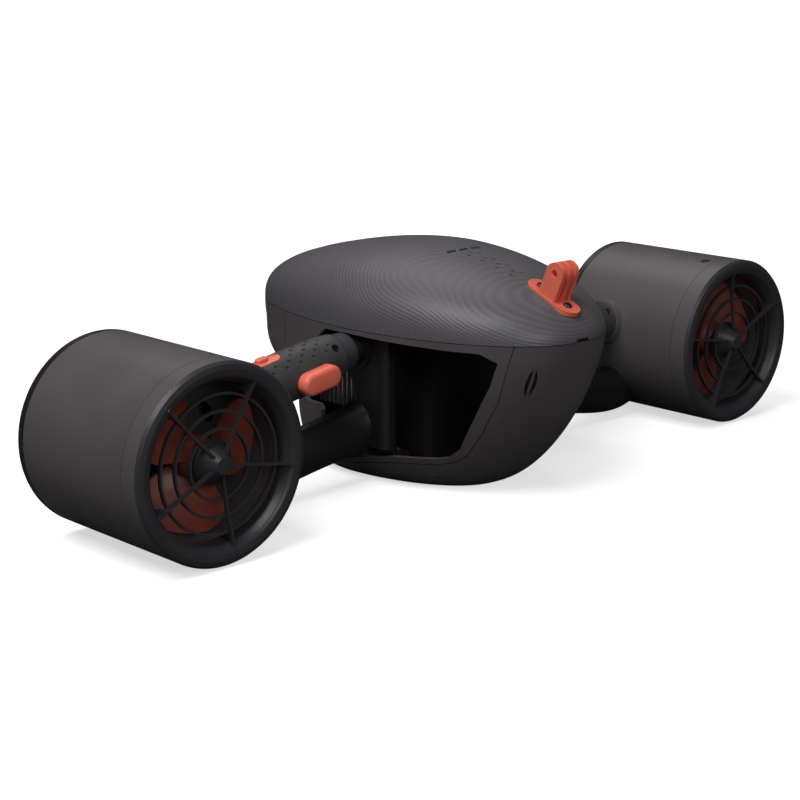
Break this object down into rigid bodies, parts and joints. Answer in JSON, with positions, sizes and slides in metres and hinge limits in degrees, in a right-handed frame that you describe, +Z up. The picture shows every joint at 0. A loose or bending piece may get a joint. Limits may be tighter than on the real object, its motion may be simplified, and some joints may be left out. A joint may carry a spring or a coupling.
{
  "type": "underwater scooter",
  "caption": "Handheld underwater scooter: a central hull between ducted propellers on handle arms, with finger triggers, sliders and a camera mount.",
  "frame": {"origin": "on the floor under the middle of the hull and of its bounding box", "axes": "+X from the left thruster to the right one, +Y from the bow to the tail, +Z up"},
  "size_m": [0.5952, 0.2729, 0.154],
  "materials": {
    "satin_grey": "satin",
    "cover_grey": "satin",
    "black_plastic": "fine grain",
    "grip_black": "dimpled",
    "orange": "satin",
    "aluminium": "brushed",
    "steel": "plain",
    "seal": "smooth",
    "motor_metal": "smooth",
    "window": "smooth",
    "board": "smooth",
    "battery": "smooth"
  },
  "bodies": {
    "hull": {"tail_cover": "satin_grey", "side_panel_left": "satin_grey", "side_panel_right": "satin_grey", "lower_hull": "satin_grey", "top_cover": "cover_grey", "camera_mount": "orange", "mount_nut": "steel", "mount_screws": "steel", "core_housing": "aluminium", "core_lid": "aluminium", "core_seal": "seal", "battery_pack": "battery", "control_board": "board", "heat_sink_left": "aluminium", "heat_sink_right": "aluminium", "display_window": "window", "arm_post_left": "black_plastic", "post_screws_left": "steel", "duct_shell_left": "satin_grey", "intake_guard_left": "black_plastic", "rear_ring_left": "black_plastic", "duct_screw_left": "steel", "shaft_seal_left": "seal", "motor_left": "motor_metal", "motor_mount_left": "black_plastic", "grip_left": "grip_black", "handle_tube_left": "aluminium", "strut_left": "black_plastic", "arm_post_right": "black_plastic", "post_screws_right": "steel", "duct_shell_right": "satin_grey", "intake_guard_right": "black_plastic", "rear_ring_right": "black_plastic", "duct_screw_right": "steel", "shaft_seal_right": "seal", "motor_right": "motor_metal", "motor_mount_right": "black_plastic", "grip_right": "grip_black", "handle_tube_right": "aluminium", "strut_right": "black_plastic"},
    "propeller_left": {"propeller_left": "orange", "prop_shaft_left": "steel"},
    "trigger_left": {"trigger_left": "orange"},
    "slider_left": {"slider_left": "orange"},
    "propeller_right": {"propeller_right": "orange", "prop_shaft_right": "steel"},
    "trigger_right": {"trigger_right": "orange"},
    "slider_right": {"slider_right": "orange"}
  },
  "joints": [
    {"name": "propeller_spin_left", "type": "hinge", "parent": "hull", "child": "propeller_left", "pos_m": [-0.2376, -0.05, 0.061], "axis": [0, 1, 0], "continuous": true},
    {"name": "trigger_press_left", "type": "slide", "parent": "hull", "child": "trigger_left", "axis": [0, 1, 0], "range_m": [0, 0.004], "stiffness_N_per_m": 900, "springref_m": -0.0015},
    {"name": "slider_move_left", "type": "slide", "parent": "hull", "child": "slider_left", "axis": [-0.9845, 0, -0.1751], "range_m": [0, 0.006]},
    {"name": "propeller_spin_right", "type": "hinge", "parent": "hull", "child": "propeller_right", "pos_m": [0.2376, -0.05, 0.061], "axis": [0, 1, 0], "continuous": true},
    {"name": "trigger_press_right", "type": "slide", "parent": "hull", "child": "trigger_right", "axis": [0, 1, 0], "range_m": [0, 0.004], "stiffness_N_per_m": 900, "springref_m": -0.0015},
    {"name": "slider_move_right", "type": "slide", "parent": "hull", "child": "slider_right", "axis": [0.9845, 0, -0.1751], "range_m": [0, 0.006]}
  ]
}
